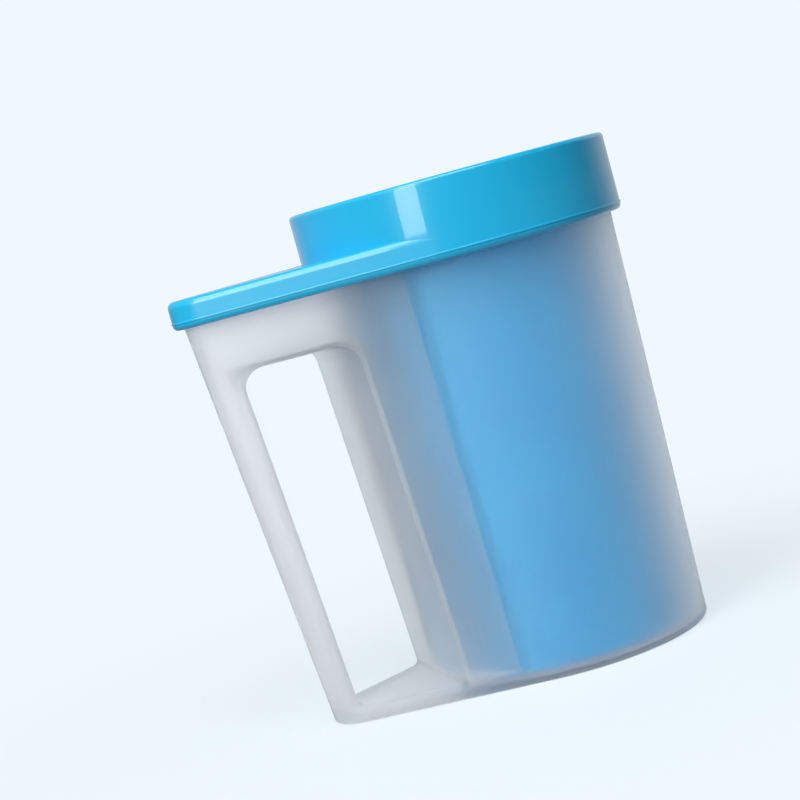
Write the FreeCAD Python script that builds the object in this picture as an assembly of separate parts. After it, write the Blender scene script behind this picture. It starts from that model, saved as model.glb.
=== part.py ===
"""Paw washer cup: a frosted cup with a looped handle, a push-on lid with a round collar,
a lid seal and a soft bristled sleeve that drops into the mouth. Millimetres, +Z up,
origin at the round body's axis on the base plane, handle towards -X."""
import FreeCAD, Part
import math
import os

os.makedirs("parts", exist_ok=True)

# Heights along the axis
OVERALL_HEIGHT = 150.0
SKIRT_BOTTOM = 126.3        # lower edge of the lid
TAB_TOP = 134.9             # top of the lid's tab over the handle
TAB_PLATE = 2.2             # thickness of the tab's top plate
HANDLE_TOP = 132.3          # open top of the handle housing, under the tab
CUP_RIM = 136.3             # top of the round neck, inside the collar
LEDGE_TOP = 141.0           # ledge inside the collar that carries the sleeve
LEDGE_THICK = 2.4

# Plan outline of the cup: a round body and a small handle end joined by tangent faces
BODY_R_BASE = 43.0
BODY_R_SKIRT = 45.7         # at the lid's lower edge
HANDLE_X_BASE = 65.9
HANDLE_X_SKIRT = 81.4
HANDLE_R_BASE = 12.0
HANDLE_R_SKIRT = 8.5
BASE_ROUND = 1.6            # rounding of the bottom edge
NECK_R = 45.3               # round neck that stands above the handle housing
NECK_OVERLAP = 2.0          # the neck starts this far below the housing's top

# Walls
BODY_WALL = 2.4
SPLIT_WALL = 1.2            # round wall where it runs inside the handle housing
SKIN_WALL = 1.6             # outer skin of the handle housing
FLOOR = 1.6
LEDGE_Z = 4.8               # sill of the finger window
POCKET_X_BASE = 27.5        # the handle hollow stops here, short of the sharp corner
POCKET_X_SKIRT = 31.0

# Finger window, a slanted opening right through the handle
WINDOW_TOP = 110.0
WINDOW_BODY_X_BASE = 42.0   # side towards the body, at the base and at the skirt
WINDOW_BODY_X_SKIRT = 48.8
WINDOW_END_X_BASE = 71.1    # side towards the fingers' grip
WINDOW_END_X_SKIRT = 80.3
WINDOW_TOP_CORNER = 6.0
WINDOW_SILL_CORNER = 1.5
WINDOW_RIM = 2.3            # rounding where the window breaks through the housing's faces

# Lid
COLLAR_R = 49.2
COLLAR_WALL = 4.0
TAB_X = 82.1
TAB_R = 11.0
LID_CLEARANCE = 0.4
COLLAR_EDGE = 1.3           # rounding of the collar's upper edge
TAB_EDGE = 2.0              # rounding of the tab's upper edge
SKIRT_EDGE = 1.5            # rounding of the skirt's lower edge
BEAD_LOW = 128.1            # fine raised parting line round the skirt
BEAD_HEIGHT = 0.6
BEAD_PROUD = 0.25
BEAD_EDGE = 0.2
MOUTH_EDGE = 0.9            # rounding inside the collar's top
MOUTH_R = 41.5              # hole through the ledge

# Seal under the ledge
SEAL_THICK = 2.0
SEAL_R_IN = 42.2
GROOVE_R_OUT = 45.0
GROOVE_R_IN = 43.9
GROOVE_DEPTH = 0.5

# Bristled sleeve
SLEEVE_R_TOP = 40.0
SLEEVE_R_BASE = 37.4
SLEEVE_WALL = 2.0
SLEEVE_BOTTOM = 2.2
FLANGE_R = 44.7
FLANGE_THICK = 2.0
FLANGE_EDGE = 0.8
SLEEVE_LIP = 1.4            # rounding into the sleeve's mouth
FIT_GAP = 0.3
BRISTLE_ROWS = 9
BRISTLES_PER_ROW = 20
BRISTLE_FIRST_Z = 18.0
BRISTLE_PITCH = 13.4
BRISTLE_LENGTH = 10.5
BRISTLE_ROOT_R = 1.7
BRISTLE_TIP_R = 0.8
BRISTLE_ROOT_DEPTH = 0.8

# Construction allowances
OVERSHOOT = 5.0             # cutters run this far past the faces they open
HALF_SPAN = 60.0            # more than the widest half of the cup
FAR_END = 110.0             # beyond the end of the handle
NEAR = 0.1                  # tolerance when edges are picked out by place
FLAT = 0.001                # tolerance when edges are tested for lying level


def slide_value(base, at_skirt, z):
    """Value at height z of a size that changes evenly from the base to the lid's lower edge."""
    return base + (at_skirt - base) * z / SKIRT_BOTTOM


def body_radius(z):
    return slide_value(BODY_R_BASE, BODY_R_SKIRT, z)


def sleeve_radius(z):
    span = LEDGE_TOP - SLEEVE_BOTTOM
    return SLEEVE_R_BASE + (SLEEVE_R_TOP - SLEEVE_R_BASE) * (z - SLEEVE_BOTTOM) / span


def teardrop(body_r, end_x, end_r, z):
    """Closed wire: a big arc about the axis, a small arc about (-end_x, 0), two tangent lines."""
    slope = math.asin((body_r - end_r) / end_x)
    across = math.cos(slope)
    along = -math.sin(slope)
    body_low = FreeCAD.Vector(body_r * along, -body_r * across, z)
    body_high = FreeCAD.Vector(body_r * along, body_r * across, z)
    end_low = FreeCAD.Vector(-end_x + end_r * along, -end_r * across, z)
    end_high = FreeCAD.Vector(-end_x + end_r * along, end_r * across, z)
    round_side = Part.Arc(body_low, FreeCAD.Vector(body_r, 0, z), body_high).toShape()
    end_side = Part.Arc(end_high, FreeCAD.Vector(-end_x - end_r, 0, z), end_low).toShape()
    upper = Part.makeLine(body_high, end_high)
    lower = Part.makeLine(end_low, body_low)
    return Part.Wire([round_side, upper, end_side, lower])


def cup_outline(z, offset):
    """The cup's plan outline at height z, moved outwards by offset."""
    body_r = body_radius(z) + offset
    end_x = slide_value(HANDLE_X_BASE, HANDLE_X_SKIRT, z)
    end_r = slide_value(HANDLE_R_BASE, HANDLE_R_SKIRT, z) + offset
    return teardrop(body_r, end_x, end_r, z)


def loft(wires):
    return Part.makeLoft(wires, True, True)


def cone_about_axis(radius_low, radius_high, z_low, z_high):
    if radius_low == radius_high:
        return Part.makeCylinder(radius_low, z_high - z_low, FreeCAD.Vector(0, 0, z_low))
    return Part.makeCone(radius_low, radius_high, z_high - z_low, FreeCAD.Vector(0, 0, z_low))


def prism_along_y(outline, half_width):
    """Prism with a closed (x, z) outline, running half_width to each side of the middle plane."""
    points = [FreeCAD.Vector(x, -half_width, z) for x, z in outline]
    face = Part.Face(Part.makePolygon(points + [points[0]]))
    return face.extrude(FreeCAD.Vector(0, 2 * half_width, 0))


def window_cutter(grow, z_low, z_high):
    """Slanted prism through the handle, grown by grow on its two slanted sides."""
    body_low = -slide_value(WINDOW_BODY_X_BASE, WINDOW_BODY_X_SKIRT, z_low) + grow
    body_high = -slide_value(WINDOW_BODY_X_BASE, WINDOW_BODY_X_SKIRT, z_high) + grow
    end_low = -slide_value(WINDOW_END_X_BASE, WINDOW_END_X_SKIRT, z_low) - grow
    end_high = -slide_value(WINDOW_END_X_BASE, WINDOW_END_X_SKIRT, z_high) - grow
    outline = [(body_low, z_low), (body_high, z_high), (end_high, z_high), (end_low, z_low)]
    return prism_along_y(outline, HALF_SPAN)


def edges_along_y(shape, z):
    """Edges that run along Y at height z."""
    found = []
    for edge in shape.Edges:
        ends = [vertex.Point for vertex in edge.Vertexes]
        along_y = abs(ends[0].x - ends[-1].x) < FLAT and abs(ends[0].z - ends[-1].z) < FLAT
        if along_y and abs(ends[0].z - z) < FLAT:
            found.append(edge)
    return found


def window_rim_edges(shape):
    """Edges round both mouths of the window; those inside the tunnel run along Y and are left out."""
    found = []
    for edge in shape.Edges:
        box = edge.BoundBox
        middle = edge.valueAt((edge.FirstParameter + edge.LastParameter) / 2)
        in_window = LEDGE_Z - NEAR <= middle.z <= WINDOW_TOP + NEAR
        grip_axis = -slide_value(HANDLE_X_BASE, HANDLE_X_SKIRT, middle.z)
        beside_body = grip_axis < middle.x < NEAR - WINDOW_BODY_X_BASE
        inside_tunnel = box.YMax - box.YMin > 2 * HANDLE_R_SKIRT
        if in_window and beside_body and abs(middle.y) > HANDLE_R_SKIRT / 2 and not inside_tunnel:
            found.append(edge)
    return found


def edges_at_height(shape, z, inside_radius):
    """Edges lying flat at height z whose points are all outside inside_radius."""
    found = []
    for edge in shape.Edges:
        box = edge.BoundBox
        flat = abs(box.ZMin - z) < FLAT and abs(box.ZMax - z) < FLAT
        middle = edge.valueAt((edge.FirstParameter + edge.LastParameter) / 2)
        if flat and math.hypot(middle.x, middle.y) > inside_radius:
            found.append(edge)
    return found


def handle_hollow():
    """Space inside the handle housing: open at the top, shut at the sill."""
    top = CUP_RIM + OVERSHOOT
    hollow = loft([cup_outline(LEDGE_Z, -SKIN_WALL), cup_outline(top, -SKIN_WALL)])
    hollow = hollow.cut(cone_about_axis(body_radius(0) - SPLIT_WALL, body_radius(top) - SPLIT_WALL, 0, top))
    hollow = hollow.cut(window_cutter(SKIN_WALL, 0, WINDOW_TOP + SKIN_WALL))
    limit_high = -slide_value(POCKET_X_BASE, POCKET_X_SKIRT, top)
    outline = [(-POCKET_X_BASE, 0), (limit_high, top), (-FAR_END, top), (-FAR_END, 0)]
    return hollow.common(prism_along_y(outline, HALF_SPAN))


def finger_window():
    """Rounded prism of the finger window, long enough to pass both faces of the housing."""
    prism = window_cutter(0, LEDGE_Z, WINDOW_TOP)
    prism = prism.makeFillet(WINDOW_TOP_CORNER, edges_along_y(prism, WINDOW_TOP))
    return prism.makeFillet(WINDOW_SILL_CORNER, edges_along_y(prism, LEDGE_Z))


def cup_shell():
    outer = loft([cup_outline(0, 0), cup_outline(HANDLE_TOP, 0)])
    outer = outer.makeFillet(BASE_ROUND, edges_at_height(outer, 0, 0))
    outer = outer.cut(finger_window())
    outer = outer.makeFillet(WINDOW_RIM, window_rim_edges(outer))
    neck = cone_about_axis(NECK_R, NECK_R, HANDLE_TOP - NECK_OVERLAP, CUP_RIM)
    outer = outer.fuse(neck)
    cavity_top = CUP_RIM + OVERSHOOT
    cavity_low_r = body_radius(FLOOR) - BODY_WALL
    cavity_top_r = body_radius(cavity_top) - BODY_WALL
    shell = outer.cut(cone_about_axis(cavity_low_r, cavity_top_r, FLOOR, cavity_top))
    shell = shell.cut(handle_hollow())
    return shell.removeSplitter()


def parting_bead():
    """Low rounded band that follows the skirt's outline a little above its lower edge."""
    face = Part.Face(teardrop(COLLAR_R + BEAD_PROUD, TAB_X, TAB_R + BEAD_PROUD, BEAD_LOW))
    band = face.extrude(FreeCAD.Vector(0, 0, BEAD_HEIGHT))
    edges = edges_at_height(band, BEAD_LOW, 0) + edges_at_height(band, BEAD_LOW + BEAD_HEIGHT, 0)
    return band.makeFillet(BEAD_EDGE, edges)


def lid():
    tab = Part.Face(teardrop(COLLAR_R, TAB_X, TAB_R, SKIRT_BOTTOM))
    tab = tab.extrude(FreeCAD.Vector(0, 0, TAB_TOP - SKIRT_BOTTOM))
    tab = tab.makeFillet(TAB_EDGE, edges_at_height(tab, TAB_TOP, 0))
    collar = cone_about_axis(COLLAR_R, COLLAR_R, SKIRT_BOTTOM, OVERALL_HEIGHT)
    collar = collar.makeFillet(COLLAR_EDGE, edges_at_height(collar, OVERALL_HEIGHT, 0))
    body = collar.fuse(tab).removeSplitter()
    body = body.makeFillet(SKIRT_EDGE, edges_at_height(body, SKIRT_BOTTOM, 0))
    body = body.fuse(parting_bead()).removeSplitter()
    seat_low = SKIRT_BOTTOM - OVERSHOOT
    seat = loft([cup_outline(seat_low, LID_CLEARANCE), cup_outline(TAB_TOP - TAB_PLATE, LID_CLEARANCE)])
    ledge_bottom = LEDGE_TOP - LEDGE_THICK
    seat_r = body_radius(ledge_bottom) + LID_CLEARANCE
    bore = cone_about_axis(seat_r, seat_r, SKIRT_BOTTOM + SKIRT_EDGE, ledge_bottom)
    mouth = cone_about_axis(MOUTH_R, MOUTH_R, ledge_bottom - OVERSHOOT, LEDGE_TOP + OVERSHOOT)
    collar_r = COLLAR_R - COLLAR_WALL
    inside = cone_about_axis(collar_r, collar_r, LEDGE_TOP, OVERALL_HEIGHT + OVERSHOOT)
    for cutter in (seat, bore, mouth, inside):
        body = body.cut(cutter)
    body = body.removeSplitter()
    rim = edges_at_height(body, OVERALL_HEIGHT, 0)
    inner_rim = [edge for edge in rim if edge.BoundBox.XMax < collar_r + NEAR]
    return body.makeFillet(MOUTH_EDGE, inner_rim)


def lid_seal():
    """Square-cut ring with a shallow groove in its lower face, pressed up against the ledge."""
    top = LEDGE_TOP - LEDGE_THICK
    low = top - SEAL_THICK
    outer_r = body_radius(top) + LID_CLEARANCE
    ring = cone_about_axis(outer_r, outer_r, low, top)
    ring = ring.cut(cone_about_axis(SEAL_R_IN, SEAL_R_IN, low, top))
    groove = cone_about_axis(GROOVE_R_OUT, GROOVE_R_OUT, low, low + GROOVE_DEPTH)
    groove = groove.cut(cone_about_axis(GROOVE_R_IN, GROOVE_R_IN, low, low + GROOVE_DEPTH))
    return ring.cut(groove)


def bristle_sleeve():
    flange_low = LEDGE_TOP + FIT_GAP
    flange_top = flange_low + FLANGE_THICK
    wall = cone_about_axis(sleeve_radius(SLEEVE_BOTTOM), sleeve_radius(flange_top), SLEEVE_BOTTOM, flange_top)
    flange = cone_about_axis(FLANGE_R, FLANGE_R, flange_low, flange_top)
    flange = flange.makeFillet(FLANGE_EDGE, edges_at_height(flange, flange_top, 0))
    body = wall.fuse(flange).removeSplitter()
    inner_low = sleeve_radius(SLEEVE_BOTTOM) - SLEEVE_WALL
    inner_top = sleeve_radius(flange_top) - SLEEVE_WALL
    body = body.cut(cone_about_axis(inner_low, inner_top, SLEEVE_BOTTOM, flange_top))
    top_edges = edges_at_height(body, flange_top, 0)
    inner_edges = [edge for edge in top_edges if edge.BoundBox.XMax < inner_top + NEAR]
    return body.makeFillet(SLEEVE_LIP, inner_edges)


def bristle(angle, z):
    """One soft tapered bristle with a domed tip, rooted in the sleeve's inner face."""
    root_r = sleeve_radius(z) - SLEEVE_WALL + BRISTLE_ROOT_DEPTH
    outwards = FreeCAD.Vector(math.cos(angle), math.sin(angle), 0)
    root = FreeCAD.Vector(root_r * outwards.x, root_r * outwards.y, z)
    length = BRISTLE_LENGTH + BRISTLE_ROOT_DEPTH
    shaft = Part.makeCone(BRISTLE_ROOT_R, BRISTLE_TIP_R, length, root, outwards.negative())
    tip = root - outwards * length
    dome = Part.makeSphere(BRISTLE_TIP_R, tip)
    return shaft.fuse(dome).removeSplitter()


def bristle_row(index):
    z = BRISTLE_FIRST_Z + index * BRISTLE_PITCH
    step = 2 * math.pi / BRISTLES_PER_ROW
    offset = step / 2 if index % 2 else 0.0
    solids = [bristle(offset + step * number, z) for number in range(BRISTLES_PER_ROW)]
    return Part.makeCompound(solids)


def save(node, shape):
    shape.exportStep("parts/" + node + ".step")


save("cup_shell", cup_shell())
save("lid", lid())
save("lid_seal", lid_seal())
save("bristle_sleeve", bristle_sleeve())
for row in range(BRISTLE_ROWS):
    save("bristle_row_%d" % (row + 1), bristle_row(row))
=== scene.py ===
"""Paw washer cup: a frosted cup with a looped handle, a glossy blue push-on lid, and a soft
bristled sleeve that hangs from the lid's collar. Metres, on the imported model's own frame."""
import math

import bmesh
import bpy
from mathutils import Matrix, Vector


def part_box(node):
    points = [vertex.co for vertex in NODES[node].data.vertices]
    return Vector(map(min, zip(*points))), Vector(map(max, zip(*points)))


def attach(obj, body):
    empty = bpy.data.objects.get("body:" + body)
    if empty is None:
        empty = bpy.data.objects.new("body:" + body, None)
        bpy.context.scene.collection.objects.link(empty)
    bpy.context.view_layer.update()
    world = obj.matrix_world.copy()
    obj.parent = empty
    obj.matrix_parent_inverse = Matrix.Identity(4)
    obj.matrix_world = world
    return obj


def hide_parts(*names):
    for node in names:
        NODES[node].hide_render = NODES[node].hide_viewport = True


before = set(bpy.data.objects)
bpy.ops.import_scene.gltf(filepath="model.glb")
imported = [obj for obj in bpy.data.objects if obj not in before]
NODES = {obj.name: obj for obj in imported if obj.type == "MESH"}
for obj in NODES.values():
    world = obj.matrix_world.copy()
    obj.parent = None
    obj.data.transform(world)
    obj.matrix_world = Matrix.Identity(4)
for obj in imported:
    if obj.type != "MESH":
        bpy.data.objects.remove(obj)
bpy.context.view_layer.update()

MM = 0.001


def row_number(name):
    """Number at the end of a bristle row's name."""
    return int(name.split("_")[-1])


# Places taken from the frame
SLEEVE_LOW, SLEEVE_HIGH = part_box("bristle_sleeve")
ROW_NAMES = sorted((name for name in NODES if name.startswith("bristle_row_")), key=row_number)
ROW_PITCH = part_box("bristle_row_2")[0].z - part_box("bristle_row_1")[0].z

# Silicone sleeve
SLEEVE_R_TOP = 40.0 * MM        # outside, at the lid's ledge
SLEEVE_R_BASE = 37.4 * MM       # outside, at the lower end
SLEEVE_WALL = 2.0 * MM
FLANGE_R = SLEEVE_HIGH.x
FLANGE_THICK = 2.0 * MM
FLANGE_LOW_Z = SLEEVE_HIGH.z - FLANGE_THICK
FLANGE_GAP = 0.3 * MM           # the flange stands this far clear of the ledge
FLANGE_ROOT_R = 1.2 * MM        # hollow rounding where the flange leaves the tube
MOUTH_LIP_R = 1.4 * MM          # rounding into the sleeve's mouth
LEDGE_Z = FLANGE_LOW_Z - FLANGE_GAP
TUBE_RINGS = 10                 # stretches of the tube's wall between its two ends
HALF_TURN_STEPS = 8             # steps round a half-round edge
MOUTH_LIP_STEPS = 6
FLANGE_ROOT_STEPS = 5
TURN_STEPS = 128                # steps round the upright axis
WELD = 0.0001 * MM

# Bristles, and the short nubs between their rows
BRISTLES_PER_ROW = 20
BRISTLE_LENGTH = 10.5 * MM
BRISTLE_ROOT_R = 1.7 * MM
BRISTLE_TIP_R = 0.8 * MM
NUB_LENGTH = 1.5 * MM
NUB_ROOT_R = 1.25 * MM
NUB_TIP_R = 1.0 * MM
ROOT_SINK = 0.6 * MM            # a root starts this far inside the sleeve's wall
SPIKE_SIDES = 12
SPIKE_FLARE = ((0.0, 1.3), (0.06, 1.08), (0.14, 1.0))   # share of the length, radius over the root's
SPIKE_MIDDLE = 0.55             # share of the length where the radius is halfway to the tip's
DOME_ANGLES = (0.45, 0.9, 1.25)

# Range of a noise that colours and roughness follow, and how rough the noise itself is
NOISE_LOW = 0.3
NOISE_HIGH = 0.7
NOISE_ROUGHNESS = 0.55

# Colours, each as the two ends of a faint cloudy range
# The frosted pair's faint pink tint is painted warm light from around the cup. Their near-white and their
# cloudy spread are the plastic's own.
FROSTED_DEEP_PAINTED_WARM_LIGHT = (0.990, 0.979, 0.984)
FROSTED_CLEAR_PAINTED_WARM_LIGHT = (1.0, 0.991, 0.994)
LID_DEEP = (0.009, 0.43, 0.76)
LID_LIGHT = (0.015, 0.465, 0.80)
SLEEVE_DEEP = (0.005, 0.32, 0.66)
SLEEVE_LIGHT = (0.009, 0.36, 0.70)
SEAL_DEEP = (0.74, 0.78, 0.80)
SEAL_LIGHT = (0.84, 0.86, 0.87)

# Camera
CAMERA_PLACE = Vector((-212.9, -636.2, 142.0)) * MM
CAMERA_AIM = Vector((-32.4, 0.0, 88.1)) * MM
CAMERA_ROLL = math.radians(15.4)
CAMERA_LENS = 98.8              # with the sensor's width, in millimetres
SENSOR_WIDTH = 36.0
CLIP_START = 50 * MM

# Backdrop: its colour, and its strength for the light that reaches the cup
BACKDROP = (0.863, 0.939, 1.0)
ROOM_LEFT = 0.40
ROOM_RIGHT = 0.06
ROOM_SIDE = 0.6                 # sideways part of a direction at which those two are reached
ROOM_BACK = 0.66
ROOM_BELOW = 0.26
THROUGH_PLASTIC = 0.40          # added for light that comes through the plastic
BACK_DIRECTION = (0.50, 0.866, 0.0)
BACK_SPREAD = (0.55, 0.88)      # how far along it a direction points, from front to back strength

# Floor
FLOOR_R = 40.0
FLOOR_SIDES = 96
FLOOR_DROP = 0.2 * MM           # keeps the floor clear of the cup's flat base
FLOOR_COLOUR = (0.80, 0.87, 0.93)
FLOOR_ROUGHNESS = 0.6
GLOW_SHARE = (0.70, 1.0)        # glow in the floor's mix, beside the cup and away from it
GLOW_SPAN = (0.04, 0.30)        # distance from the cup's axis over which it rises

# Lamps: angles in degrees, azimuth counted from -Y towards -X
LAMP_TARGET = Vector((-10, 0, 90)) * MM
LAMP_DISTANCE = 1.2
KEY_AZIMUTH = 47
KEY_ELEVATION = 0
KEY_WIDTH = 0.34
KEY_HEIGHT = 1.0
KEY_POWER = 9
KEY_COLOUR = (1.0, 0.98, 0.87)
KEY_LOW_Z = 0.121               # its lower edge: the white bar shows on the collar, not on the tab's side
OVERHEAD_AZIMUTH = 25
OVERHEAD_ELEVATION = 62
OVERHEAD_WIDTH = 1.1
OVERHEAD_HEIGHT = 0.5
OVERHEAD_POWER = 12
OVERHEAD_COLOUR = (1.0, 1.0, 1.0)


# ---------------------------------------------------------------- materials
class Finish:
    """A material with one Principled shader and short ways to add the textures that drive it."""

    def __init__(self, name):
        self.material = bpy.data.materials.new(name)
        self.material.use_nodes = True
        self.tree = self.material.node_tree
        self.shader = self.tree.nodes["Principled BSDF"]
        self.coords = self.add("ShaderNodeTexCoord").outputs["Object"]

    def add(self, kind):
        return self.tree.nodes.new(kind)

    def link(self, source, target):
        self.tree.links.new(source, target)

    def fix(self, **values):
        """Values that are the same all over, on the shader's own sockets."""
        for key, value in values.items():
            self.shader.inputs[key.replace("_", " ")].default_value = value

    def paint(self, **sources):
        """Links textures to the shader's sockets."""
        for key, source in sources.items():
            self.link(source, self.shader.inputs[key.replace("_", " ")])

    def noise(self, scale, detail, stretch=(1, 1, 1)):
        """Cloudy noise on the object's own coordinates; a stretch under 1 draws it out."""
        mapping = self.add("ShaderNodeMapping")
        mapping.inputs["Scale"].default_value = stretch
        self.link(self.coords, mapping.inputs["Vector"])
        texture = self.add("ShaderNodeTexNoise")
        texture.inputs["Scale"].default_value = scale
        texture.inputs["Detail"].default_value = detail
        texture.inputs["Roughness"].default_value = NOISE_ROUGHNESS
        self.link(mapping.outputs["Vector"], texture.inputs["Vector"])
        return texture.outputs["Fac"]

    def spread(self, source, low, high):
        """Number that goes from low to high with the noise."""
        node = self.add("ShaderNodeMapRange")
        node.inputs["From Min"].default_value = NOISE_LOW
        node.inputs["From Max"].default_value = NOISE_HIGH
        node.inputs["To Min"].default_value = low
        node.inputs["To Max"].default_value = high
        self.link(source, node.inputs["Value"])
        return node.outputs["Result"]

    def colours(self, source, first, second):
        """Colour that goes from first to second with the noise."""
        ramp = self.add("ShaderNodeValToRGB")
        ramp.color_ramp.elements[0].position = NOISE_LOW
        ramp.color_ramp.elements[1].position = NOISE_HIGH
        ramp.color_ramp.elements[0].color = (*first, 1)
        ramp.color_ramp.elements[1].color = (*second, 1)
        self.link(source, ramp.inputs["Fac"])
        return ramp.outputs["Color"]

    def bump(self, source, distance, strength, under=None):
        """Surface relief of this height, on top of another bump if one is given."""
        node = self.add("ShaderNodeBump")
        node.inputs["Strength"].default_value = strength
        node.inputs["Distance"].default_value = distance
        self.link(source, node.inputs["Height"])
        if under is not None:
            self.link(under, node.inputs["Normal"])
        return node.outputs["Normal"]


def frosted_plastic():
    """Natural polypropylene: cloudy, light passes through it blurred, with a fine moulded grain, and a
    faint pink tint that is painted warm light.
    """
    finish = Finish("frosted_plastic")
    cloud = finish.noise(scale=28, detail=4, stretch=(1, 1, 0.35))
    grain = finish.noise(scale=3600, detail=2)
    ripple = finish.noise(scale=160, detail=2, stretch=(1, 1, 0.12))
    # The plastic's own cloudy spread, with a painted warm tint standing in for warm light around the cup
    colour = finish.colours(cloud, FROSTED_DEEP_PAINTED_WARM_LIGHT, FROSTED_CLEAR_PAINTED_WARM_LIGHT)
    rough = finish.spread(cloud, low=0.55, high=0.62)
    soft = finish.bump(ripple, distance=0.02 * MM, strength=0.35)
    normal = finish.bump(grain, distance=0.012 * MM, strength=0.6, under=soft)
    finish.paint(Base_Color=colour, Roughness=rough, Normal=normal)
    finish.fix(Transmission_Weight=0.97, IOR=1.33)
    return finish.material


def glossy_blue():
    """Blue moulded lid with a high polish and faint flow marks."""
    finish = Finish("glossy_blue")
    flow = finish.noise(scale=22, detail=3, stretch=(1, 1, 0.4))
    haze = finish.noise(scale=240, detail=2)
    wave = finish.noise(scale=60, detail=1)
    colour = finish.colours(flow, LID_DEEP, LID_LIGHT)
    rough = finish.spread(haze, low=0.23, high=0.27)
    normal = finish.bump(wave, distance=0.03 * MM, strength=0.25)
    finish.paint(Base_Color=colour, Roughness=rough, Normal=normal)
    finish.fix(IOR=1.40, Coat_Weight=0.5, Coat_Roughness=0.025)
    return finish.material


def blue_silicone():
    """Soft satin silicone with a fine dusty surface."""
    finish = Finish("blue_silicone")
    cloud = finish.noise(scale=70, detail=3)
    dust = finish.noise(scale=2200, detail=2)
    colour = finish.colours(cloud, SLEEVE_DEEP, SLEEVE_LIGHT)
    rough = finish.spread(dust, low=0.42, high=0.58)
    normal = finish.bump(dust, distance=0.01 * MM, strength=0.5)
    finish.paint(Base_Color=colour, Roughness=rough, Normal=normal)
    finish.fix(IOR=1.41, Sheen_Weight=0.15, Sheen_Roughness=0.4)
    return finish.material


def clear_silicone():
    """Uncoloured silicone of the seal, a little see-through at its edges."""
    finish = Finish("clear_silicone")
    cloud = finish.noise(scale=90, detail=3)
    dust = finish.noise(scale=2000, detail=2)
    colour = finish.colours(cloud, SEAL_DEEP, SEAL_LIGHT)
    rough = finish.spread(dust, low=0.4, high=0.55)
    normal = finish.bump(dust, distance=0.01 * MM, strength=0.5)
    finish.paint(Base_Color=colour, Roughness=rough, Normal=normal)
    finish.fix(IOR=1.41, Subsurface_Weight=0.2, Subsurface_Scale=1.5 * MM)
    return finish.material


# ---------------------------------------------------------------- mesh helpers
def silicone_piece(name, bm, material, cad_node):
    """Turns a bmesh into a piece that rides with the sleeve and stands for one of its CAD nodes."""
    mesh = bpy.data.meshes.new(name)
    bm.to_mesh(mesh)
    bm.free()
    piece = bpy.data.objects.new(name, mesh)
    bpy.context.scene.collection.objects.link(piece)
    mesh.materials.append(material)
    mesh.shade_smooth()
    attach(piece, "sleeve")
    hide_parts(cad_node)


def arc(centre, radius, start_deg, end_deg, steps):
    """Points (r, z) along an arc, both ends included."""
    points = []
    for step in range(steps + 1):
        angle = math.radians(start_deg + (end_deg - start_deg) * step / steps)
        points.append((centre[0] + radius * math.cos(angle), centre[1] + radius * math.sin(angle)))
    return points


def turned(profile):
    """Closed ring-shaped solid made by turning a closed (r, z) profile about the upright axis."""
    bm = bmesh.new()
    verts = [bm.verts.new((r, 0, z)) for r, z in profile]
    edges = [bm.edges.new(pair) for pair in zip(verts, verts[1:] + verts[:1])]
    bmesh.ops.spin(bm, geom=verts + edges, axis=(0, 0, 1), cent=(0, 0, 0), angle=2 * math.pi,
                   steps=TURN_STEPS, use_merge=True, use_duplicate=False)
    bmesh.ops.remove_doubles(bm, verts=bm.verts, dist=WELD)
    bmesh.ops.recalc_face_normals(bm, faces=bm.faces)
    return bm


# ---------------------------------------------------------------- silicone sleeve
def outer_radius(z):
    """Outside of the sleeve's tapered tube at this height."""
    share = (z - SLEEVE_LOW.z) / (LEDGE_Z - SLEEVE_LOW.z)
    return SLEEVE_R_BASE + (SLEEVE_R_TOP - SLEEVE_R_BASE) * share


def inner_radius(z):
    """Inside of the tube at this height."""
    return outer_radius(z) - SLEEVE_WALL


def tube_side(radius_at, start_z, end_z):
    """Points up or down one side of the tube, between two ends that the edges' arcs supply."""
    heights = [start_z + (end_z - start_z) * step / TUBE_RINGS for step in range(1, TUBE_RINGS)]
    return [(radius_at(z), z) for z in heights]


def sleeve_profile():
    """Outline of the sleeve's wall: rolled bottom lip, tapered tube, flange with a rounded edge."""
    low = SLEEVE_LOW.z
    top = SLEEVE_HIGH.z
    roll = SLEEVE_WALL / 2
    bead = FLANGE_THICK / 2
    roll_centre = (outer_radius(low) - roll, low + roll)
    root_centre = (outer_radius(FLANGE_LOW_Z) + FLANGE_ROOT_R, FLANGE_LOW_Z - FLANGE_ROOT_R)
    bead_centre = (FLANGE_R - bead, FLANGE_LOW_Z + bead)
    lip_centre = (inner_radius(top) + MOUTH_LIP_R, top - MOUTH_LIP_R)
    points = arc(roll_centre, roll, 180, 360, HALF_TURN_STEPS)
    points += tube_side(outer_radius, low + roll, FLANGE_LOW_Z)
    points += arc(root_centre, FLANGE_ROOT_R, 180, 90, FLANGE_ROOT_STEPS)
    points += arc(bead_centre, bead, -90, 90, HALF_TURN_STEPS)
    points += arc(lip_centre, MOUTH_LIP_R, 90, 180, MOUTH_LIP_STEPS)
    points += tube_side(inner_radius, top - MOUTH_LIP_R, low + roll)
    return points


def silicone_sleeve(material):
    """The tube with its flange, all in one turned wall."""
    silicone_piece("silicone_sleeve", turned(sleeve_profile()), material, "bristle_sleeve")


def spike_rings(root_r, tip_r, length):
    """Height and radius of each ring: flared root, even taper, domed tip."""
    rings = [(share * length, wide * root_r) for share, wide in SPIKE_FLARE]
    rings.append((SPIKE_MIDDLE * length, (root_r + tip_r) / 2))
    rings.append((length, tip_r))
    rings += [(length + tip_r * math.sin(angle), tip_r * math.cos(angle)) for angle in DOME_ANGLES]
    return rings


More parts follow.
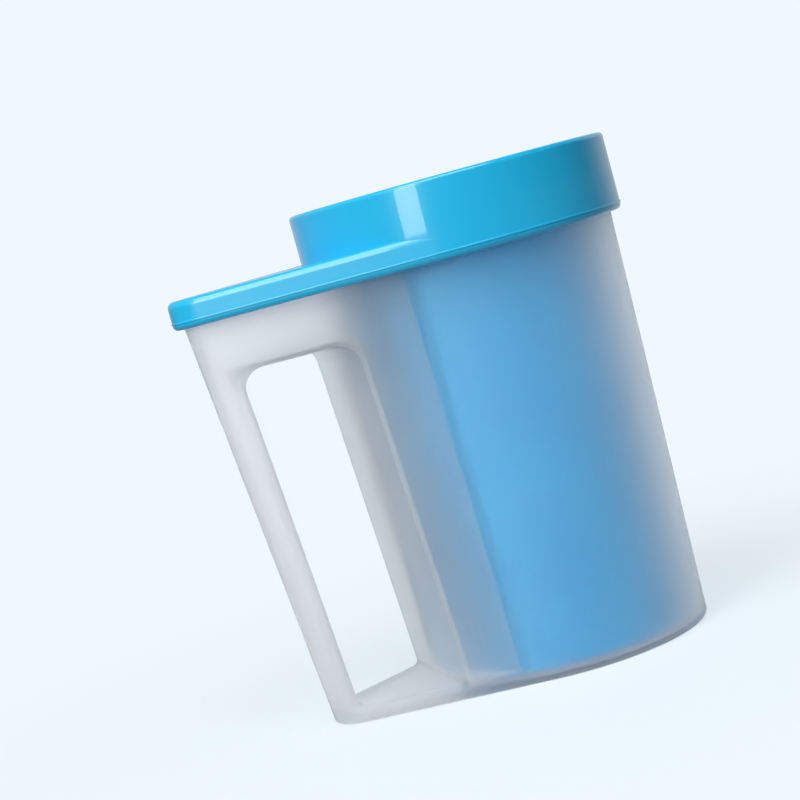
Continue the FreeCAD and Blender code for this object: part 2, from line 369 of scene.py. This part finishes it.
def add_spike(bm, root_r, tip_r, length, place):
    """One closed spike, made upright and then laid along the place's own X axis."""
    rings = spike_rings(root_r, tip_r, length)
    base = bmesh.ops.create_circle(bm, cap_ends=True, segments=SPIKE_SIDES, radius=rings[0][1])
    made = list(base["verts"])
    # A dict keeps the edges in order, so that every run gives the same mesh
    edges = list(dict.fromkeys(edge for vert in made for edge in vert.link_edges))
    for (_, radius), (new_height, new_radius) in zip(rings, rings[1:]):
        grown = bmesh.ops.extrude_edge_only(bm, edges=edges)["geom"]
        ring = [item for item in grown if isinstance(item, bmesh.types.BMVert)]
        edges = [item for item in grown if isinstance(item, bmesh.types.BMEdge)]
        edges = [edge for edge in edges if all(vert in ring for vert in edge.verts)]
        bmesh.ops.scale(bm, verts=ring, vec=(new_radius / radius, new_radius / radius, 1.0))
        bmesh.ops.translate(bm, verts=ring, vec=(0, 0, new_height - ring[0].co.z))
        made += ring
    cap = bmesh.ops.contextual_create(bm, geom=edges)["faces"]
    tip = bmesh.ops.poke(bm, faces=cap)["verts"]
    bmesh.ops.translate(bm, verts=tip, vec=(0, 0, length + tip_r - tip[0].co.z))
    turn = Matrix.Rotation(math.pi / 2, 4, "Y")
    bmesh.ops.transform(bm, matrix=place @ turn, verts=made + tip)


def spike_place(angle, z):
    """Puts a spike's root in the sleeve's inner face at this angle, pointing at the axis."""
    root = Matrix.Translation((inner_radius(z) + ROOT_SINK, 0, z))
    return Matrix.Rotation(angle, 4, "Z") @ root @ Matrix.Rotation(math.pi, 4, "Z")


def bristle_row(index, name, material):
    """A ring of long bristles, and a ring of short nubs half a pitch above them."""
    low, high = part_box(name)
    z = (low.z + high.z) / 2
    nub_z = z + ROW_PITCH / 2
    step = 2 * math.pi / BRISTLES_PER_ROW
    offset = step / 2 if index % 2 else 0.0
    bm = bmesh.new()
    for number in range(BRISTLES_PER_ROW):
        angle = offset + number * step
        add_spike(bm, BRISTLE_ROOT_R, BRISTLE_TIP_R, BRISTLE_LENGTH, spike_place(angle, z))
        add_spike(bm, NUB_ROOT_R, NUB_TIP_R, NUB_LENGTH, spike_place(angle, nub_z))
    bmesh.ops.recalc_face_normals(bm, faces=bm.faces)
    silicone_piece("bristles_%d" % (index + 1), bm, material, name)


# ---------------------------------------------------------------- stage
def link_all(tree, *pairs):
    """Links each source to its target."""
    for source, target in pairs:
        tree.links.new(source, target)


def mapped(tree, source, low, high, from_low=0.0, from_high=1.0):
    """Map Range node that turns from_low..from_high into low..high."""
    node = tree.nodes.new("ShaderNodeMapRange")
    node.inputs["From Min"].default_value = from_low
    node.inputs["From Max"].default_value = from_high
    node.inputs["To Min"].default_value = low
    node.inputs["To Max"].default_value = high
    tree.links.new(source, node.inputs["Value"])
    return node


def added(tree, first, second):
    """Sum of two numbers."""
    node = tree.nodes.new("ShaderNodeMath")
    link_all(tree, (first, node.inputs[0]), (second, node.inputs[1]))
    return node.outputs["Value"]


def backed(tree, front, place):
    """Room strength that rises from front to ROOM_BACK as a direction turns towards the cup's back."""
    direction = tree.nodes.new("ShaderNodeVectorMath")
    direction.operation = "NORMALIZE"
    depth = tree.nodes.new("ShaderNodeVectorMath")
    depth.operation = "DOT_PRODUCT"
    depth.inputs[1].default_value = BACK_DIRECTION
    link_all(tree, (place, direction.inputs[0]), (direction.outputs["Vector"], depth.inputs[0]))
    share = mapped(tree, depth.outputs["Value"], 0.0, 1.0, *BACK_SPREAD).outputs["Result"]
    choice = tree.nodes.new("ShaderNodeMix")
    choice.inputs["B"].default_value = ROOM_BACK
    link_all(tree, (share, choice.inputs["Factor"]), (front, choice.inputs["A"]))
    return choice.outputs["Result"]


def studio_strength(tree, room):
    """Full strength for the camera, room strength for lighting, and more for light seen through plastic."""
    path = tree.nodes.new("ShaderNodeLightPath")
    through = mapped(tree, path.outputs["Is Transmission Ray"], 0.0, THROUGH_PLASTIC).outputs["Result"]
    lighting = added(tree, room, through)
    choice = tree.nodes.new("ShaderNodeMix")
    choice.inputs["B"].default_value = 1.0
    link_all(tree, (path.outputs["Is Camera Ray"], choice.inputs["Factor"]), (lighting, choice.inputs["A"]))
    return choice.outputs["Result"]


def backdrop_material():
    """Pale floor that takes on more of the backdrop's own glow away from the cup."""
    material = bpy.data.materials.new("pale_floor")
    material.use_nodes = True
    tree = material.node_tree
    shader = tree.nodes["Principled BSDF"]
    shader.inputs["Base Color"].default_value = (*FLOOR_COLOUR, 1)
    shader.inputs["Roughness"].default_value = FLOOR_ROUGHNESS
    glow = tree.nodes.new("ShaderNodeEmission")
    glow.inputs["Color"].default_value = (*BACKDROP, 1)
    front = tree.nodes.new("ShaderNodeValue")
    front.outputs["Value"].default_value = ROOM_BELOW
    coords = tree.nodes.new("ShaderNodeTexCoord")
    room = backed(tree, front.outputs["Value"], coords.outputs["Object"])
    away = tree.nodes.new("ShaderNodeVectorMath")
    away.operation = "LENGTH"
    share = mapped(tree, away.outputs["Value"], *GLOW_SHARE, *GLOW_SPAN)
    share.interpolation_type = "SMOOTHSTEP"
    mix = tree.nodes.new("ShaderNodeMixShader")
    link_all(tree,
             (coords.outputs["Object"], away.inputs[0]),
             (studio_strength(tree, room), glow.inputs["Strength"]),
             (share.outputs["Result"], mix.inputs["Fac"]),
             (shader.outputs["BSDF"], mix.inputs[1]),
             (glow.outputs["Emission"], mix.inputs[2]),
             (mix.outputs["Shader"], tree.nodes["Material Output"].inputs["Surface"]))
    return material


def floor():
    """Large round floor just under the cup."""
    bm = bmesh.new()
    bmesh.ops.create_circle(bm, cap_ends=True, segments=FLOOR_SIDES, radius=FLOOR_R)
    bmesh.ops.translate(bm, verts=bm.verts, vec=(0, 0, -FLOOR_DROP))
    mesh = bpy.data.meshes.new("floor")
    bm.to_mesh(mesh)
    bm.free()
    plane = bpy.data.objects.new("floor", mesh)
    bpy.context.scene.collection.objects.link(plane)
    mesh.materials.append(backdrop_material())


def world_light():
    """Even pale backdrop for the camera; a dimmer room, darker on the right, for the light on the cup."""
    world = bpy.data.worlds.new("studio")
    bpy.context.scene.world = world
    world.use_nodes = True
    tree = world.node_tree
    sky = tree.nodes["Background"]
    sky.inputs["Color"].default_value = (*BACKDROP, 1)
    coords = tree.nodes.new("ShaderNodeTexCoord")
    direction = tree.nodes.new("ShaderNodeSeparateXYZ")
    front = mapped(tree, direction.outputs["X"], ROOM_LEFT, ROOM_RIGHT, -ROOM_SIDE, ROOM_SIDE)
    room = backed(tree, front.outputs["Result"], coords.outputs["Generated"])
    link_all(tree,
             (coords.outputs["Generated"], direction.inputs["Vector"]),
             (studio_strength(tree, room), sky.inputs["Strength"]))


def softbox(name, azimuth, elevation, width, height, power, colour):
    """Rectangular area light that faces LAMP_TARGET from this direction."""
    light = bpy.data.lights.new(name, "AREA")
    light.shape = "RECTANGLE"
    light.size = width
    light.size_y = height
    light.energy = power
    light.color = colour
    lamp = bpy.data.objects.new(name, light)
    bpy.context.scene.collection.objects.link(lamp)
    turn = math.radians(azimuth)
    rise = math.radians(elevation)
    back = Vector((-math.sin(turn) * math.cos(rise), -math.cos(turn) * math.cos(rise), math.sin(rise)))
    lamp.location = LAMP_TARGET + back * LAMP_DISTANCE
    lamp.rotation_mode = "QUATERNION"
    lamp.rotation_quaternion = back.to_track_quat("Z", "Y")
    return lamp


def lights():
    """A tall key lamp at the front left and a wide lamp overhead."""
    key = softbox("key_window", KEY_AZIMUTH, KEY_ELEVATION, KEY_WIDTH, KEY_HEIGHT, KEY_POWER, KEY_COLOUR)
    key.location.z = KEY_LOW_Z + KEY_HEIGHT / 2
    softbox("overhead", OVERHEAD_AZIMUTH, OVERHEAD_ELEVATION, OVERHEAD_WIDTH, OVERHEAD_HEIGHT,
            OVERHEAD_POWER, OVERHEAD_COLOUR)


def camera():
    """Camera aimed at the cup, and rolled so that the upright cup looks tilted."""
    data = bpy.data.cameras.new("camera")
    data.lens = CAMERA_LENS
    data.sensor_width = SENSOR_WIDTH
    data.clip_start = CLIP_START
    view = bpy.data.objects.new("camera", data)
    bpy.context.scene.collection.objects.link(view)
    forward = (CAMERA_AIM - CAMERA_PLACE).normalized()
    right = forward.cross(Vector((0, 0, 1))).normalized()
    up = right.cross(forward)
    rolled_right = right * math.cos(CAMERA_ROLL) - up * math.sin(CAMERA_ROLL)
    rolled_up = right * math.sin(CAMERA_ROLL) + up * math.cos(CAMERA_ROLL)
    turn = Matrix((rolled_right, rolled_up, -forward)).transposed().to_4x4()
    view.matrix_world = Matrix.Translation(CAMERA_PLACE) @ turn
    bpy.context.scene.camera = view


# ---------------------------------------------------------------- build
def dress(node, material):
    """Gives a CAD node that keeps its shape its material."""
    mesh = NODES[node].data
    mesh.materials.clear()
    mesh.materials.append(material)


silicone = blue_silicone()
dress("cup_shell", frosted_plastic())
dress("lid", glossy_blue())
dress("lid_seal", clear_silicone())
silicone_sleeve(silicone)
for row_index, row_name in enumerate(ROW_NAMES):
    bristle_row(row_index, row_name, silicone)
floor()
world_light()
lights()
camera()
bpy.context.scene.view_settings.view_transform = "Standard"
